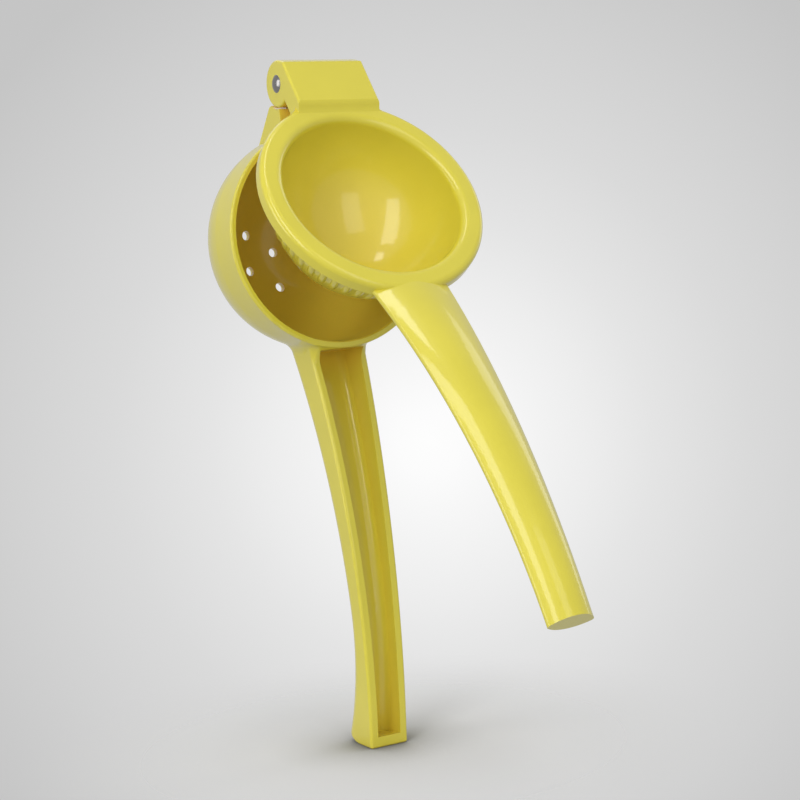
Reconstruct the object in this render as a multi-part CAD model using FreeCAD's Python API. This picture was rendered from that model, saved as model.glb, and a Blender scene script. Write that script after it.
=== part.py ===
import FreeCAD, Part
import math
import os

# Hinged lemon squeezer: a strainer bowl and a pressing cup, each cast in one with its
# handle, and the steel pin that joins them.
# Every size is in millimetres and every angle in degrees.
# Each lever is drawn with the pin's centre at the origin, the handle down (-Z) and the
# closed cup in front of the bowl (-Y). The squeezer is then opened and stood on its foot.

# Rest pose
open_angle = 30.0            # how far the press lever stands open
lean = 6.2                   # the bowl lever leans back until the open squeezer balances

# Hinge
hinge_width = 29.4           # over both ears
ear_thickness = 5.0
ear_radius = 7.6
pin_radius = 2.4
pin_head_radius = 2.9
pin_head_height = 1.0
pin_running_clearance = 0.05
knuckle_radius = 5.2
knuckle_clearance = 0.5      # round the knuckle and at each of its sides
shoulder_clearance = 0.5     # under the turning ears
block_front = 8.0            # front face of the hinge block, ahead of the pin
block_edge_height = 2.3      # top edge of that face, above the pin
block_edge_round = 0.8
block_corner = 3.0           # hollow corner where the block's sides meet the ring
web_end_angle = 130.0        # where the web between the ears ends, from +Y over the top
closing_gap = 0.3            # left between the two castings when they are shut
pin_rise = 12.8              # from the bowl's rim up to the pin

# Strainer bowl
bowl_radius = 37.0
bowl_depth = 47.8
bowl_draft = 2.8             # how much the wall closes in from the rim to the dome
bowl_wall = 2.2
bowl_rim_round = 0.8
strainer_hole_radius = 1.6
strainer_pitch = 12.4
neck_back = 5.4              # how far the neck reaches behind the pin
neck_slope = 45.0

# Bowl lever's handle, a channel open to the front
foot_drop = 217.9            # from the pin to the front edge of the foot
channel_wall = 2.7
channel_floor = 2.6
channel_end_wall = 3.6
channel_corner = 4.5         # outside, at the back
channel_floor_round = 2.8    # inside, along the floor
channel_rim_round = 0.9
channel_root_half_width = 10.7
channel_waist_half_width = 7.6
channel_foot_half_width = 6.9
rim_root_back = 8.1
rim_waist_front = 2.3
rim_foot_back = 2.5
rim_waist_drop = 163.0
waist_depth = 10.2
back_waist_drop = 172.0
back_root = 24.7
sole_length = 9.0
sole_edge_round = 0.8
heel_back = 17.6
heel_rise = 7.3              # from the foot up to the heel's furthest point
root_fillet = 5.0            # all round, where the handle meets the bowl

# Pressing cup
ring_overhang = 0.5          # how far the ring stands out past the bowl's rim
ring_thickness = 5.3
ring_edge_round = 2.0
ring_back_round = 0.6
cup_depth = 32.4
cup_lip_round = 2.6
cup_wall = 1.8
cup_floor = 2.4
dome_clearance = 3.2         # between the dome's rim and the bowl's wall when they are shut
rib_count = 44               # round the dome, to grip the fruit
rib_radius = 1.5
rib_height = 0.75            # above the dome
rib_length = 12.0
rib_start = 3.6              # from the back of the ring to a rib's front end
block_ramp = 3.2

# Press lever's handle, a solid bar bowed forward, with a lens-shaped section
press_bow_radius = 282.0
press_bow_front = 12.2
press_bow_drop = 160.0
press_tip_drop = 204.3
press_root_half_width = 13.3
press_tip_half_width = 7.7
press_taper_power = 1.65
press_edge_round = 0.8
crown_root = 3.4
crown_tip = 5.0
crown_power = 4.0
back_root_bulge = 1.0
back_tip_bulge = 3.6
press_sections = 9

# Worked out from the sizes above
half_hinge = hinge_width / 2
pin_drop = bowl_radius + pin_rise
ring_radius = bowl_radius + ring_overhang
dome_radius = bowl_radius - bowl_wall - dome_clearance
cup_radius = dome_radius - cup_wall
heel_drop = foot_drop - heel_rise
knuckle_half_width = half_hinge - ear_thickness - knuckle_clearance
pocket_radius = knuckle_radius + knuckle_clearance
shoulder_radius = ear_radius + shoulder_clearance
ring_back = -closing_gap
ring_front = ring_back - ring_thickness
bowl_bottom = pin_drop + bowl_radius
handle_top = bowl_bottom - 3 * bowl_wall
reach = 200.0                # longer than any cut needs to be

axis_x = FreeCAD.Vector(1, 0, 0)
axis_y = FreeCAD.Vector(0, 1, 0)
axis_z = FreeCAD.Vector(0, 0, 1)
pin_centre = FreeCAD.Vector(0, 0, 0)
cup_centre = FreeCAD.Vector(0, 0, -pin_drop)


def side(y, z):
    """A point of a side view, in the plane between the left and right halves."""
    return FreeCAD.Vector(0, y, z)


def front(x, z):
    """A point of a front view."""
    return FreeCAD.Vector(x, 0, z)


def turned(radius, y):
    """A point of a profile that is turned round the axis of bowl and cup."""
    return FreeCAD.Vector(radius, y, -pin_drop)


def polar(radius, angle):
    """A side-view point at an angle from +Y, counted over the top."""
    return radius * math.cos(math.radians(angle)), radius * math.sin(math.radians(angle))


def outline(view, start, *steps):
    """A closed flat face. A step is (end) for a line or (via, end) for an arc."""
    edges = []
    here = start
    for step in steps + ((start,),):
        end = step[-1]
        if math.dist(here, end) > 1e-6:
            if len(step) == 1:
                edges.append(Part.LineSegment(view(*here), view(*end)).toShape())
            else:
                edges.append(Part.Arc(view(*here), view(*step[0]), view(*end)).toShape())
        here = end
    return Part.Face(Part.Wire(edges))


def across(face, half_width):
    """A side view drawn out to both sides by half_width."""
    body = face.extrude(axis_x * (2 * half_width))
    body.translate(axis_x * -half_width)
    return body


def through(face):
    """A front view drawn out from far ahead to far behind."""
    body = face.extrude(axis_y * (2 * reach))
    body.translate(axis_y * -reach)
    return body


def revolved(face):
    """A turned profile swept round the axis of bowl and cup."""
    return face.revolve(cup_centre, axis_y, 360)


def bow(waist, end):
    """The middle of an arc that runs straight down at waist and passes through end."""
    offset = end[0] - waist[0]
    drop = end[1] - waist[1]
    radius = (offset ** 2 + drop ** 2) / (2 * offset)
    half = math.asin(drop / radius) / 2
    return waist[0] + radius * (1 - math.cos(half)), waist[1] + radius * math.sin(half)


def bowl_dome():
    """Radius and centre of the dome that the bowl's straight wall runs into."""
    slope = math.radians(bowl_draft)
    dome = (bowl_radius * math.cos(slope) - bowl_depth * math.sin(slope)) / (1 - math.sin(slope))
    return dome, bowl_depth - dome


def on_dome(dome, centre, angle):
    """A point of a dome at an angle of 0 beside its centre and 90 at its pole."""
    return dome * math.cos(math.radians(angle)), centre + dome * math.sin(math.radians(angle))


def pin_bore(radius):
    """The hole for the pin, right through."""
    return Part.makeCylinder(radius, 2 * reach, pin_centre - axis_x * reach, axis_x)


def edges_near(body, wanted):
    """Edges of a body whose middle point answers to a test."""
    found = []
    for edge in body.Edges:
        middle = edge.valueAt((edge.FirstParameter + edge.LastParameter) / 2)
        if wanted(edge, middle):
            found.append(edge)
    return found


def strainer_places():
    """Centres of the strainer holes: one in the middle and six round it."""
    yield 0.0, 0.0
    for step in range(6):
        angle = math.radians(30 + 60 * step)
        yield strainer_pitch * math.cos(angle), strainer_pitch * math.sin(angle)


def bowl_outside():
    dome, centre = bowl_dome()
    short = bowl_rim_round * (1 - math.sqrt(0.5))
    return revolved(outline(
        turned, (0, 0), ((bowl_radius - bowl_rim_round, 0),),
        ((bowl_radius - short, short), (bowl_radius, bowl_rim_round)),
        (on_dome(dome, centre, bowl_draft),),
        (on_dome(dome, centre, (bowl_draft + 90) / 2), (0, bowl_depth))))


def bowl_inside():
    dome, centre = bowl_dome()
    dome -= bowl_wall
    mouth = bowl_radius - bowl_wall / math.cos(math.radians(bowl_draft))
    flare = mouth + bowl_rim_round / 2
    return revolved(outline(
        turned, (0, -1), ((flare, -1),), ((flare, 0),), ((mouth, bowl_rim_round),),
        (on_dome(dome, centre, bowl_draft),),
        (on_dome(dome, centre, (bowl_draft + 90) / 2), (0, centre + dome))))


def neck():
    """Shoulder under the ears, sloping back into the bowl, with the knuckle for the pin."""
    back_angle = -math.degrees(math.acos(neck_back / shoulder_radius))
    shoulder_back = polar(shoulder_radius, back_angle)
    middle = polar(shoulder_radius, (back_angle - 90) / 2)
    corner = (shoulder_back[0] + block_edge_round * 2, shoulder_back[1] - block_edge_round / 2)
    bottom = pin_drop - bowl_radius + bowl_wall + 10
    run = (bottom + corner[1]) / math.tan(math.radians(neck_slope))
    shoulder = across(outline(
        side, (0, -bottom), ((0, -shoulder_radius),), (middle, shoulder_back),
        (corner,), ((corner[0] + run, -bottom),)), half_hinge)
    leg = across(outline(
        side, (0, -bottom), ((0, 0),), ((knuckle_radius, 0),), ((knuckle_radius, -bottom),)),
        knuckle_half_width)
    barrel = Part.makeCylinder(
        knuckle_radius, 2 * knuckle_half_width, pin_centre - axis_x * knuckle_half_width, axis_x)
    return shoulder.fuse([leg, barrel])


def handle_side():
    """Side view of the bowl lever's handle, from inside the bowl's wall down to the foot."""
    rim_root = (rim_root_back, -handle_top)
    rim_waist = (-rim_waist_front, -rim_waist_drop)
    toe = (rim_foot_back, -foot_drop)
    tilt = math.tan(math.radians(lean))
    sole_end = (rim_foot_back + sole_length, -foot_drop + sole_length * tilt)
    heel = (heel_back, -heel_drop)
    heel_middle = ((sole_end[0] + 2 * heel[0]) / 3, (2 * sole_end[1] + heel[1]) / 3)
    back_waist = (waist_depth - rim_waist_front, -back_waist_drop)
    back_top = (back_root, -handle_top)
    return outline(
        side, rim_root, (bow(rim_waist, rim_root), rim_waist), (bow(rim_waist, toe), toe),
        (sole_end,), (heel_middle, heel), (bow(back_waist, heel), back_waist),
        (bow(back_waist, back_top), back_top))


def handle_front(top_drop, inset, foot_inset):
    """Front view of the bowl lever's handle, or of its hollow when it is inset."""
    top = (channel_root_half_width - inset, -top_drop)
    waist = (channel_waist_half_width - inset, -rim_waist_drop)
    foot = (channel_foot_half_width - inset, -foot_drop + foot_inset)
    return outline(
        front, top, (waist, foot), ((-foot[0], foot[1]),), ((-waist[0], waist[1]), (-top[0], top[1])))


def bowl_handle():
    body = across(handle_side(), reach).common(through(handle_front(handle_top, 0, -1)))
    middle_depth = waist_depth / 2 - rim_waist_front

    def is_corner(edge, middle):
        return (edge.Length > heel_rise and abs(middle.x) > channel_foot_half_width - 1
                and -heel_drop < middle.z < -handle_top)

    def is_back_corner(edge, middle):
        return is_corner(edge, middle) and middle.y > middle_depth + rim_root_back / 2

    def is_rim_corner(edge, middle):
        return is_corner(edge, middle) and middle.y < middle_depth + rim_root_back / 2

    def is_sole_edge(edge, middle):
        return middle.z < -foot_drop + sole_edge_round and edge.Length > channel_end_wall

    body = body.makeFillet(channel_corner, edges_near(body, is_back_corner))
    body = body.makeFillet(channel_rim_round, edges_near(body, is_rim_corner))
    return body.makeFillet(sole_edge_round, edges_near(body, is_sole_edge))


def bowl_with_handle():
    """Outside of bowl and handle, with a fillet all round where they meet."""
    body = bowl_outside().fuse(bowl_handle()).removeSplitter()

    def is_junction(edge, middle):
        return (-bowl_bottom - 1 < middle.z < -handle_top - 1 and middle.y > bowl_rim_round + 1
                and abs(middle.x) < channel_root_half_width + 1)

    return body.makeFillet(root_fillet, edges_near(body, is_junction))


def bowl_channel():
    """The hollow of the bowl lever's handle."""
    plan = through(handle_front(bowl_bottom, channel_wall, channel_end_wall))
    waist = (waist_depth - rim_waist_front - channel_floor, -back_waist_drop)
    top = (back_root - channel_floor, -handle_top)
    foot = (heel_back - 2 * channel_floor, -foot_drop)
    profile = outline(
        side, (-reach, -handle_top), (top,), (bow(waist, top), waist), (bow(waist, foot), foot),
        ((-reach, -foot_drop),))
    hollow = plan.common(across(profile, reach))

    def is_floor_corner(edge, middle):
        return middle.y > 0 and abs(middle.x) > 2 and edge.Length > 20

    return hollow.makeFillet(channel_floor_round, edges_near(hollow, is_floor_corner))


def bowl_lever():
    body = bowl_with_handle().fuse(neck())
    tools = [bowl_inside(), bowl_channel(), pin_bore(pin_radius + pin_running_clearance)]
    for x, z in strainer_places():
        place = cup_centre + FreeCAD.Vector(x, 0, z)
        tools.append(Part.makeCylinder(strainer_hole_radius, reach, place, axis_y))
    return body.cut(tools).removeSplitter()


def pressing_dome():
    """Radius and centre of the dome behind the ring."""
    top = ring_front + cup_depth + cup_floor
    depth = top - ring_back
    dome = (dome_radius ** 2 + depth ** 2) / (2 * depth)
    return dome, top - dome


def ring_and_dome():
    dome, centre = pressing_dome()
    rim_angle = math.degrees(math.asin((ring_back - centre) / dome))
    short = ring_edge_round * (1 - math.sqrt(0.5))
    little = ring_back_round * (1 - math.sqrt(0.5))
    return revolved(outline(
        turned, (0, ring_front), ((ring_radius - ring_edge_round, ring_front),),
        ((ring_radius - short, ring_front + short), (ring_radius, ring_front + ring_edge_round)),
        ((ring_radius, ring_back - ring_back_round),),
        ((ring_radius - little, ring_back - little), (ring_radius - ring_back_round, ring_back)),
        ((dome_radius, ring_back),),
        (on_dome(dome, centre, (rim_angle + 90) / 2), (0, centre + dome))))


def ribs():
    """Round bars along the dome, each bent more than the dome, so that both ends sink into it."""
    dome, centre = pressing_dome()
    bend = 1 / (1 / dome + 8 * rib_height / rib_length ** 2)
    start_angle = math.asin((ring_back + rib_start - centre) / dome)
    middle_angle = math.degrees(start_angle + rib_length / 2 / dome)
    out, back = on_dome(dome + rib_height - rib_radius - bend, centre, middle_angle)
    bend_centre = cup_centre + axis_x * out + axis_y * back
    half_sweep = math.degrees(rib_length / 2 / bend) + 10
    bar = Part.makeTorus(bend, rib_radius, bend_centre, axis_z, 0, 360, 2 * half_sweep)
    bar.rotate(bend_centre, axis_z, middle_angle - half_sweep)
    copies = []
    for index in range(rib_count):
        copy = bar.copy()
        copy.rotate(cup_centre, axis_y, 360 * (index + 0.5) / rib_count)
        copies.append(copy)
    return copies


def cup_inside():
    dome = (cup_radius ** 2 + cup_depth ** 2) / (2 * cup_depth)
    centre = ring_front + cup_depth - dome
    start = ring_front + cup_lip_round
    start_angle = math.degrees(math.asin((start - centre) / dome))
    start_radius = dome * math.cos(math.radians(start_angle))
    short = cup_lip_round * (1 - math.sqrt(0.5))
    lip = start_radius + cup_lip_round
    return revolved(outline(
        turned, (0, ring_front - 1), ((lip, ring_front - 1),), ((lip, ring_front),),
        ((start_radius + short, ring_front + short), (start_radius, start)),
        (on_dome(dome, centre, (start_angle + 90) / 2), (0, ring_front + cup_depth))))


def hinge_block():
    """The two ears and the plate that carries them, joined to the ring's top."""
    bottom = -pin_drop + cup_radius + cup_lip_round
    edge = (-block_front, block_edge_height)
    edge_distance = math.hypot(*edge)
    tangent_angle = (180 - math.degrees(math.atan2(block_edge_height, block_front))
                     - math.degrees(math.acos(ear_radius / edge_distance)))
    end_angle = -math.degrees(math.acos(ring_back / ear_radius))
    ramp_top = -pin_drop + ring_radius - block_ramp / 2
    ramp_middle = ((ring_front - block_front) / 2, ramp_top - block_ramp / 2)
    profile = outline(
        side, (ring_back, bottom), ((ring_front, bottom),), ((ring_front, ramp_top - block_ramp),),
        ((ring_front - 0.25 * (block_front + ring_front), ramp_top - 0.7 * block_ramp), ramp_middle),
        ((-block_front + 0.25 * (block_front + ring_front), ramp_top - 0.3 * block_ramp),
         (-block_front, ramp_top)),
        (edge,), (polar(ear_radius, tangent_angle),),
        (polar(ear_radius, (tangent_angle + end_angle) / 2), polar(ear_radius, end_angle)))
    body = across(profile, half_hinge)

    def is_side_edge(edge, middle):
        return abs(abs(middle.x) - half_hinge) < 1e-6 and middle.z > ramp_top

    body = body.makeFillet(block_edge_round, edges_near(body, is_side_edge))
    return body.cut(knuckle_pocket()).fuse(block_corners())


def block_corners():
    """Hollow corners between the block's sides and the ring."""
    centre_x = half_hinge + block_corner
    rise = math.sqrt((ring_radius + block_corner) ** 2 - centre_x ** 2)
    centre = (centre_x, rise - pin_drop)
    share = ring_radius / (ring_radius + block_corner)
    on_ring = (centre_x * share, rise * share - pin_drop)
    inner = (on_ring[0] * 0.9, on_ring[1] - block_corner)
    tip_angle = math.atan2(on_ring[1] - centre[1], on_ring[0] - centre[0])
    middle_angle = (tip_angle - math.pi) / 2
    on_arc = (centre[0] + block_corner * math.cos(middle_angle),
              centre[1] + block_corner * math.sin(middle_angle))
    corners = []
    for way in (-1, 1):
        face = outline(
            front, (way * half_hinge, centre[1]), ((way * on_arc[0], on_arc[1]),
                                                   (way * on_ring[0], on_ring[1])),
            ((way * inner[0], inner[1]),), ((way * (half_hinge - 1), inner[1]),),
            ((way * (half_hinge - 1), centre[1]),))
        corner = face.extrude(axis_y * (ring_thickness - ring_edge_round / 2))
        corner.translate(axis_y * (ring_front + ring_edge_round / 2))
        corners.append(corner)
    return corners


def knuckle_pocket():
    """Room for the knuckle and its leg as the lever turns, open to the back and the top."""
    web_end = polar(pocket_radius, web_end_angle)
    outside = polar(4 * ear_radius, web_end_angle)
    front_angle = 180 + math.degrees(math.acos(closing_gap / pocket_radius))
    plate = polar(pocket_radius, front_angle)
    far = 3 * ear_radius
    profile = outline(
        side, plate, (polar(pocket_radius, (front_angle + web_end_angle) / 2), web_end),
        (outside,), ((far, outside[1]),), ((far, -far),), ((plate[0], -far),))
    return across(profile, knuckle_half_width + knuckle_clearance)


def press_section(share):
    """Section square to the press handle's middle line: share 1 at the ring, 0 past the tip."""
    root = pin_drop + cup_radius + 2 * cup_wall
    last = press_tip_drop + crown_tip
    drop = last + (root - last) * share
    slope = math.asin((drop - press_bow_drop) / press_bow_radius)
    middle = FreeCAD.Vector(0, press_bow_radius * (1 - math.cos(slope)) - press_bow_front, -drop)
    outward = FreeCAD.Vector(0, -math.cos(slope), -math.sin(slope))
    half_width = press_tip_half_width + (
        press_root_half_width - press_tip_half_width) * share ** press_taper_power
    crown = crown_tip - (crown_tip - crown_root) * share ** crown_power
    bulge = back_tip_bulge - (back_tip_bulge - back_root_bulge) * share
    side = half_width - press_edge_round / 3

    def place(x, ahead):
        return middle + axis_x * x + outward * ahead

    def arc(start, through_point, end):
        return Part.Arc(place(*start), place(*through_point), place(*end)).toShape()

    return Part.Wire([
        arc((-side, press_edge_round), (0, crown), (side, press_edge_round)),
        arc((side, press_edge_round), (half_width, 0), (side, -press_edge_round)),
        arc((side, -press_edge_round), (0, -bulge), (-side, -press_edge_round)),
        arc((-side, -press_edge_round), (-half_width, 0), (-side, press_edge_round))])


def press_handle():
    """The bar is lofted past its tip and cut off level."""
    last = press_sections - 1
    bar = Part.makeLoft([press_section(1 - index / last) for index in range(press_sections)], True)
    return bar.cut(across(outline(
        side, (-reach, -press_tip_drop), ((reach, -press_tip_drop),), ((reach, -2 * reach),),
        ((-reach, -2 * reach),)), reach))


def press_lever():
    body = ring_and_dome().fuse(ribs()).fuse([hinge_block(), press_handle()])
    tools = [cup_inside(), pin_bore(pin_radius)]
    return body.cut(tools).removeSplitter()


def hinge_pin():
    """A plain steel pin with a low domed head at each end."""
    dome = (pin_head_radius ** 2 + pin_head_height ** 2) / (2 * pin_head_height)
    body = Part.makeCylinder(pin_radius, hinge_width, pin_centre - axis_x * half_hinge, axis_x)
    for way in (-1, 1):
        foot = pin_centre + axis_x * (way * half_hinge)
        ball = Part.makeSphere(dome, foot + axis_x * (way * (pin_head_height - dome)))
        slab = Part.makeCylinder(pin_head_radius, pin_head_height, foot, axis_x * way)
        body = body.fuse(ball.common(slab))
    return body.removeSplitter()


def opened(body):
    """A piece of the press lever swung open about the pin."""
    body = body.copy()
    body.rotate(pin_centre, axis_x, -open_angle)
    return body


def standing(body):
    """Lean a piece back and lift it, so that the middle of the sole is the origin."""
    tilt = math.radians(lean)
    sole = side(rim_foot_back + sole_length / 2, -foot_drop + sole_length / 2 * math.tan(tilt))
    body = body.copy()
    body.translate(-sole)
    body.rotate(pin_centre, axis_x, -lean)
    return body


pieces = {
    "bowl_lever": standing(bowl_lever()),
    "press_lever": standing(opened(press_lever())),
    "hinge_pin": standing(opened(hinge_pin())),
}

os.makedirs("parts", exist_ok=True)
for name, piece in pieces.items():
    piece.exportStep("parts/" + name + ".step")
    print(name, "valid", piece.isValid(), "solids", len(piece.Solids), "volume", round(piece.Volume))
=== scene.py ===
import bmesh
import bpy
import math
from mathutils import Matrix, Vector


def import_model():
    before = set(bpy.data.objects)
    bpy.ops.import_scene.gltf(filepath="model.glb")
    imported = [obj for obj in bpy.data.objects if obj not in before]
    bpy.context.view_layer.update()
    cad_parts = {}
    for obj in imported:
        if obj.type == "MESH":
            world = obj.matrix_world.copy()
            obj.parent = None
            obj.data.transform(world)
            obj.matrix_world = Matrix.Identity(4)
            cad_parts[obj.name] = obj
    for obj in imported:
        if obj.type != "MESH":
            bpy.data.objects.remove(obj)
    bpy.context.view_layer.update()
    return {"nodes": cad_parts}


# Looks of a hinged lemon squeezer: a coated casting with a steel pin, standing open on a
# pale studio table. Lengths are in metres and angles in degrees.

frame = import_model()
nodes = frame["nodes"]

# The bowl lever's own frame, as the photograph's camera was fitted to it: the pin at the
# origin, the handle straight down, the press lever towards -Y
LEAN = 6.2
PIN = Vector((0.0, 0.016521, 0.216895))

# Camera, in the bowl lever's frame
CAMERA_AZIMUTH = -29.981
CAMERA_ELEVATION = -0.107
CAMERA_ROLL = -6.639
CAMERA_DISTANCE = 0.62335
CAMERA_TARGET = Vector((0.017461, 0.0, -0.105833))
CAMERA_LENS = 84.751
SENSOR = 36.0
FRAME = 800

# Coating: a mottle between two shares of its colour, fine grain and a slow swell
COATING_COLOUR = (0.64, 0.56, 0.045)
COATING_SHARES = (0.975, 1.02)
COATING_ROUGHNESS = (0.30, 0.38)
MOTTLE_SCALE = 60.0
MOTTLE_RANGE = (0.3, 0.7)
GRAIN_SCALE = 1500.0
GRAIN_SHARE = 0.12
SWELL_SCALE = 110.0
COATING_BUMP = 0.0004

# Painted shade and warm bounce light in sheltered places, a warmer and brighter tone mixed into
# the coating's colour: how far shelter reaches, how open a place is where the painted tone starts
# and where it is full, and how much of it the handle gets, below the bowl
PAINTED_SHADE_COLOUR = (0.92, 0.64, 0.08)
PAINTED_SHADE_REACH = 0.05
PAINTED_SHADE_OPENNESS = (0.58, 0.18)
BOWL_BOTTOM = (0.120, 0.136)
HANDLE_SHARE = 0.35

# Pin
STEEL_COLOUR = (0.30, 0.29, 0.285)
STEEL_ROUGHNESS = (0.14, 0.26)
TURNING_MARKS = 9000.0
TURNING_BUMP = 0.00005

# The studio's wall: how bright it is at each angle, in degrees, from the middle of its glow.
# The glow lies behind the squeezer's handles
GLOW_PIXEL = (430, 440)
WALL = [(0.0, 0.985), (1.0, 0.97), (2.5, 0.92), (4.9, 0.845), (6.7, 0.78), (9.6, 0.70),
        (12.9, 0.635), (16.6, 0.56), (24.0, 0.55)]
FLOOR_COLOUR = (0.66, 0.66, 0.66)
FLOOR_RADIUS = 1.2
FLOOR_FADE = (0.0, 0.13)

# Painted contact shadow, a darker floor colour near the squeezer: how far it reaches, how open
# the floor is where it is full, and its share of the floor's colour there
CONTACT_REACH = 0.03
CONTACT_OPENNESS = 0.55
CONTACT_SHARE = 0.35

# Plain light from all round, above and below a soft horizon, and where the lamps look
SURROUND_ABOVE = 0.76
SURROUND_BELOW = 0.50
HORIZON = 0.1
LAMP_TARGET = Vector((0.0, 0.0, 0.14))


# Helpers

def from_lever(point):
    """A point of the bowl lever's own frame, brought to where the lever stands."""
    return PIN + Matrix.Rotation(math.radians(-LEAN), 3, "X") @ Vector(point)


def turn_from_lever(direction):
    """A direction of that frame, turned with the lever."""
    return Matrix.Rotation(math.radians(-LEAN), 3, "X") @ Vector(direction)


class Nodes:
    """A node tree that is written as a list of nodes and links."""

    def __init__(self, tree):
        self.tree = tree
        tree.nodes.clear()

    def add(self, kind, inputs=None, **settings):
        node = self.tree.nodes.new(kind)
        for name, value in settings.items():
            setattr(node, name, value)
        for name, value in (inputs or {}).items():
            socket = node.inputs[name]
            if isinstance(value, bpy.types.NodeSocket):
                self.tree.links.new(value, socket)
            else:
                socket.default_value = value
        return node

    def ramp(self, factor, stops):
        node = self.add("ShaderNodeValToRGB", {"Fac": factor})
        elements = node.color_ramp.elements
        while len(elements) < len(stops):
            elements.new(0.5)
        for element, (place, colour) in zip(elements, stops):
            element.position = place
            element.color = (*colour, 1.0)
        return node.outputs["Color"]

    def math(self, operation, first, second=None):
        node = self.tree.nodes.new("ShaderNodeMath")
        node.operation = operation
        for socket, value in zip(node.inputs, (first, second)):
            if isinstance(value, bpy.types.NodeSocket):
                self.tree.links.new(value, socket)
            elif value is not None:
                socket.default_value = value
        return node.outputs[0]


def new_material(name):
    material = bpy.data.materials.new(name)
    material.use_nodes = True
    return material, Nodes(material.node_tree)


def dress(node, material):
    node.data.materials.clear()
    node.data.materials.append(material)


# Materials

def coating():
    """Satin enamel over a casting: faint waviness, fine grain, and painted shade with warm bounce
    light as a deeper tone in hollows.
    """
    material, tree = new_material("satin_enamel")
    place = tree.add("ShaderNodeTexCoord").outputs["Object"]
    mottle = tree.add("ShaderNodeTexNoise", {"Vector": place, "Scale": MOTTLE_SCALE, "Detail": 3.0})
    open_tone = tree.ramp(mottle.outputs["Fac"], [
        (edge, tuple(channel * share for channel in COATING_COLOUR))
        for edge, share in zip(MOTTLE_RANGE, COATING_SHARES)])
    # Painted shade and bounce light: occlusion mixes a warmer, brighter tone into sheltered places
    shelter = tree.add("ShaderNodeAmbientOcclusion", {"Distance": PAINTED_SHADE_REACH}, samples=8)
    shade = tree.add("ShaderNodeMapRange", {
        "Value": shelter.outputs["AO"], "From Min": PAINTED_SHADE_OPENNESS[0],
        "From Max": PAINTED_SHADE_OPENNESS[1]})
    height_up = tree.add("ShaderNodeSeparateXYZ", {"Vector": place}).outputs["Z"]
    above_handle = tree.add("ShaderNodeMapRange", {
        "Value": height_up, "From Min": BOWL_BOTTOM[0], "From Max": BOWL_BOTTOM[1],
        "To Min": HANDLE_SHARE})
    painted_shade_amount = tree.math("MULTIPLY", shade.outputs["Result"], above_handle.outputs["Result"])
    tone = tree.add("ShaderNodeMix", {
        "Factor": painted_shade_amount, "A": open_tone, "B": (*PAINTED_SHADE_COLOUR, 1.0)},
        data_type="RGBA")
    grain = tree.add("ShaderNodeTexNoise", {"Vector": place, "Scale": GRAIN_SCALE, "Detail": 2.0})
    swell = tree.add("ShaderNodeTexNoise", {"Vector": place, "Scale": SWELL_SCALE, "Detail": 1.0})
    height = tree.math("ADD", tree.math("MULTIPLY", grain.outputs["Fac"], GRAIN_SHARE),
                       swell.outputs["Fac"])
    bump = tree.add("ShaderNodeBump", {
        "Height": height, "Strength": 0.10, "Distance": COATING_BUMP})
    rough = tree.add("ShaderNodeMapRange", {
        "Value": mottle.outputs["Fac"], "From Min": MOTTLE_RANGE[0],
        "From Max": MOTTLE_RANGE[1], "To Min": COATING_ROUGHNESS[0],
        "To Max": COATING_ROUGHNESS[1]})
    shader = tree.add("ShaderNodeBsdfPrincipled", {
        "Base Color": tone.outputs["Result"], "Roughness": rough.outputs["Result"],
        "IOR": 1.5, "Specular IOR Level": 0.35, "Coat Weight": 0.8, "Coat Roughness": 0.09,
        "Normal": bump.outputs["Normal"]})
    tree.add("ShaderNodeOutputMaterial", {"Surface": shader.outputs["BSDF"]})
    return material


def pin_steel():
    """Polished steel with faint turning marks round the pin's axis."""
    material, tree = new_material("polished_steel")
    place = tree.add("ShaderNodeTexCoord").outputs["Object"]
    centred = tree.add("ShaderNodeMapping", {"Vector": place, "Location": tuple(-PIN)})
    split = tree.add("ShaderNodeSeparateXYZ", {"Vector": centred.outputs["Vector"]})
    across = tree.add("ShaderNodeCombineXYZ", {"Y": split.outputs["Y"], "Z": split.outputs["Z"]})
    radius = tree.add("ShaderNodeVectorMath", {0: across.outputs["Vector"]}, operation="LENGTH")
    marks = tree.add("ShaderNodeTexNoise", {
        "W": tree.math("MULTIPLY", radius.outputs["Value"], TURNING_MARKS), "Scale": 1.0,
        "Detail": 2.0}, noise_dimensions="1D")
    bump = tree.add("ShaderNodeBump", {
        "Height": marks.outputs["Fac"], "Strength": 0.1, "Distance": TURNING_BUMP})
    rough = tree.add("ShaderNodeMapRange", {
        "Value": marks.outputs["Fac"], "To Min": STEEL_ROUGHNESS[0],
        "To Max": STEEL_ROUGHNESS[1]})
    shader = tree.add("ShaderNodeBsdfPrincipled", {
        "Base Color": (*STEEL_COLOUR, 1.0), "Metallic": 1.0,
        "Roughness": rough.outputs["Result"], "Normal": bump.outputs["Normal"]})
    tree.add("ShaderNodeOutputMaterial", {"Surface": shader.outputs["BSDF"]})
    return material


# Stage

def camera():
    azimuth, elevation, roll = (math.radians(a) for a in (
        CAMERA_AZIMUTH, CAMERA_ELEVATION, CAMERA_ROLL))
    back = Vector((math.sin(azimuth) * math.cos(elevation),
                   -math.cos(azimuth) * math.cos(elevation), math.sin(elevation)))
    right = (-back).cross(Vector((0, 0, 1))).normalized()
    up = right.cross(-back)
    rolled_right = right * math.cos(roll) + up * math.sin(roll)
    rolled_up = up * math.cos(roll) - right * math.sin(roll)
    axes = [turn_from_lever(axis) for axis in (rolled_right, rolled_up, back)]
    data = bpy.data.cameras.new("camera")
    data.sensor_width = SENSOR
    data.lens = CAMERA_LENS
    data.clip_start = 0.01
    shot = bpy.data.objects.new("camera", data)
    turn = Matrix(axes).transposed()
    shot.matrix_world = Matrix.Translation(
        from_lever(CAMERA_TARGET + back * CAMERA_DISTANCE)) @ turn.to_4x4()
    bpy.context.scene.collection.objects.link(shot)
    bpy.context.scene.camera = shot
    return shot


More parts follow.
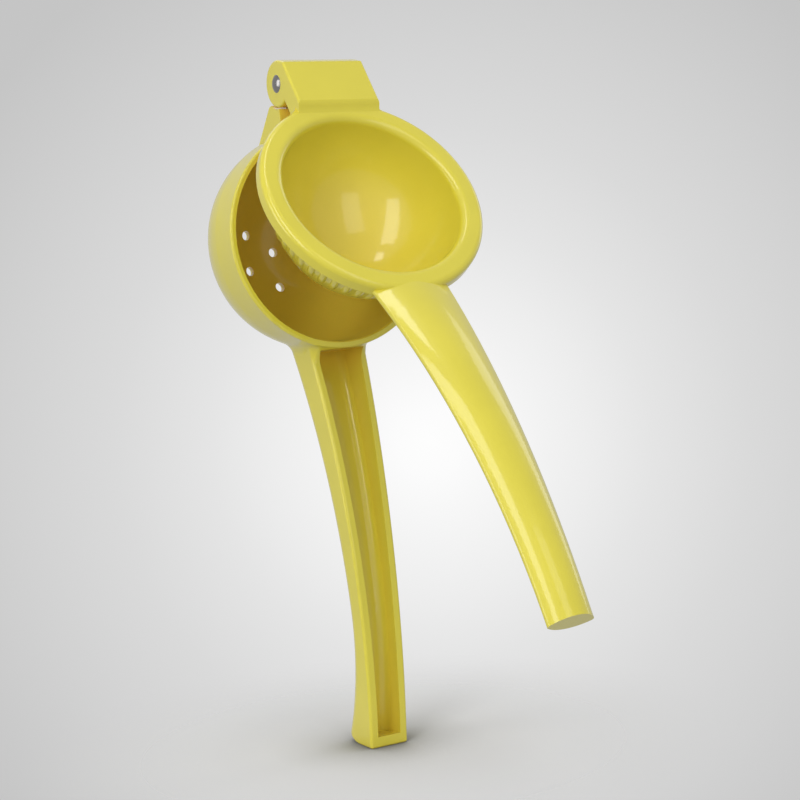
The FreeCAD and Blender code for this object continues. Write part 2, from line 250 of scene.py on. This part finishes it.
def soft_box(name, azimuth, elevation, distance, width, height, power, shines=True):
    """An area lamp that looks at the middle of the squeezer. Azimuth 0 is in front (-Y), and
    a lamp that doesn't shine leaves no highlight."""
    a, e = math.radians(azimuth), math.radians(elevation)
    back = Vector((math.sin(a) * math.cos(e), -math.cos(a) * math.cos(e), math.sin(e)))
    data = bpy.data.lights.new(name, "AREA")
    data.shape = "RECTANGLE"
    data.size = width
    data.size_y = height
    data.energy = power
    lamp = bpy.data.objects.new(name, data)
    lamp.location = LAMP_TARGET + back * distance
    lamp.rotation_mode = "QUATERNION"
    lamp.rotation_quaternion = back.to_track_quat("Z", "Y")
    lamp.visible_glossy = shines
    bpy.context.scene.collection.objects.link(lamp)


def world(shot):
    """A pale wall that glows behind the squeezer, seen directly and in reflections. All other
    light comes from a plain surround."""
    across, down = (place - FRAME / 2 for place in GLOW_PIXEL)
    glow_middle = shot.matrix_world.to_3x3() @ Vector((
        across * SENSOR / FRAME, -down * SENSOR / FRAME, -CAMERA_LENS)).normalized()
    made = bpy.data.worlds.new("studio")
    made.use_nodes = True
    bpy.context.scene.world = made
    tree = Nodes(made.node_tree)
    direction = tree.add("ShaderNodeTexCoord").outputs["Generated"]
    along = tree.add("ShaderNodeVectorMath", {
        0: direction, 1: tuple(glow_middle)}, operation="DOT_PRODUCT").outputs["Value"]
    reach = WALL[-1][0]
    angle = tree.math("DIVIDE", tree.math("ARCCOSINE", along), math.radians(reach))
    wall = tree.ramp(angle, [(degrees / reach, (grey, grey, grey)) for degrees, grey in WALL])
    seen = tree.add("ShaderNodeBackground", {"Color": wall, "Strength": 1.0})
    lift = tree.add("ShaderNodeSeparateXYZ", {"Vector": direction}).outputs["Z"]
    surround = tree.add("ShaderNodeMapRange", {
        "Value": lift, "From Min": -HORIZON, "From Max": HORIZON,
        "To Min": SURROUND_BELOW, "To Max": SURROUND_ABOVE})
    light = tree.add("ShaderNodeBackground", {"Strength": surround.outputs["Result"]})
    rays = tree.add("ShaderNodeLightPath")
    shows_wall = tree.math("MAXIMUM", rays.outputs["Is Camera Ray"],
                           tree.math("MAXIMUM", rays.outputs["Is Glossy Ray"],
                                     rays.outputs["Is Transmission Ray"]))
    mix = tree.add("ShaderNodeMixShader", {
        "Fac": shows_wall, 1: light.outputs[0], 2: seen.outputs[0]})
    tree.add("ShaderNodeOutputWorld", {"Surface": mix.outputs[0]})


def floor():
    """A pale table that holds the cast shadow, darkened further by a painted contact shadow near
    the squeezer, and melts into the wall further out.
    """
    mesh = bpy.data.meshes.new("floor")
    shape = bmesh.new()
    bmesh.ops.create_circle(shape, cap_ends=True, radius=FLOOR_RADIUS, segments=96)
    shape.to_mesh(mesh)
    shape.free()
    table = bpy.data.objects.new("floor", mesh)
    bpy.context.scene.collection.objects.link(table)
    material, tree = new_material("pale_table")
    place = tree.add("ShaderNodeTexCoord").outputs["Object"]
    distance = tree.add("ShaderNodeVectorMath", {0: place}, operation="LENGTH")
    fade = tree.add("ShaderNodeMapRange", {
        "Value": distance.outputs["Value"], "From Min": FLOOR_FADE[0],
        "From Max": FLOOR_FADE[1]}, interpolation_type="SMOOTHSTEP")
    # Painted contact shadow: occlusion darkens the floor's colour near the squeezer
    shelter = tree.add("ShaderNodeAmbientOcclusion", {"Distance": CONTACT_REACH}, samples=8)
    tone = tree.ramp(shelter.outputs["AO"], [
        (CONTACT_OPENNESS, tuple(grey * CONTACT_SHARE for grey in FLOOR_COLOUR)),
        (1.0, FLOOR_COLOUR)])
    paint = tree.add("ShaderNodeBsdfPrincipled", {
        "Base Color": tone, "Roughness": 0.9, "Specular IOR Level": 0.0})
    clear = tree.add("ShaderNodeBsdfTransparent")
    mix = tree.add("ShaderNodeMixShader", {
        "Fac": fade.outputs["Result"], 1: paint.outputs["BSDF"], 2: clear.outputs["BSDF"]})
    tree.add("ShaderNodeOutputMaterial", {"Surface": mix.outputs[0]})
    mesh.materials.append(material)


enamel = coating()
dress(nodes["bowl_lever"], enamel)
dress(nodes["press_lever"], enamel)
dress(nodes["hinge_pin"], pin_steel())

shot = camera()
world(shot)
floor()
soft_box("front_strip", azimuth=-2, elevation=19, distance=0.9, width=0.36, height=0.80, power=1.2)
soft_box("left_strip", azimuth=-55, elevation=33, distance=0.9, width=0.27, height=0.96, power=2.7)
soft_box("top_strip", azimuth=-45, elevation=86, distance=0.9, width=0.11, height=0.42, power=0.7)
soft_box("left_panel", azimuth=-100, elevation=10, distance=1.2, width=0.5, height=0.8, power=3.0)
soft_box("front_fill", azimuth=-35, elevation=2, distance=1.3, width=1.4, height=0.9, power=3.8,
         shines=False)
soft_box("back_top", azimuth=165, elevation=45, distance=1.2, width=0.8, height=0.8, power=1.0)
soft_box("right_panel", azimuth=95, elevation=25, distance=1.2, width=0.35, height=0.9, power=1.3)

bpy.context.scene.view_settings.view_transform = "Standard"
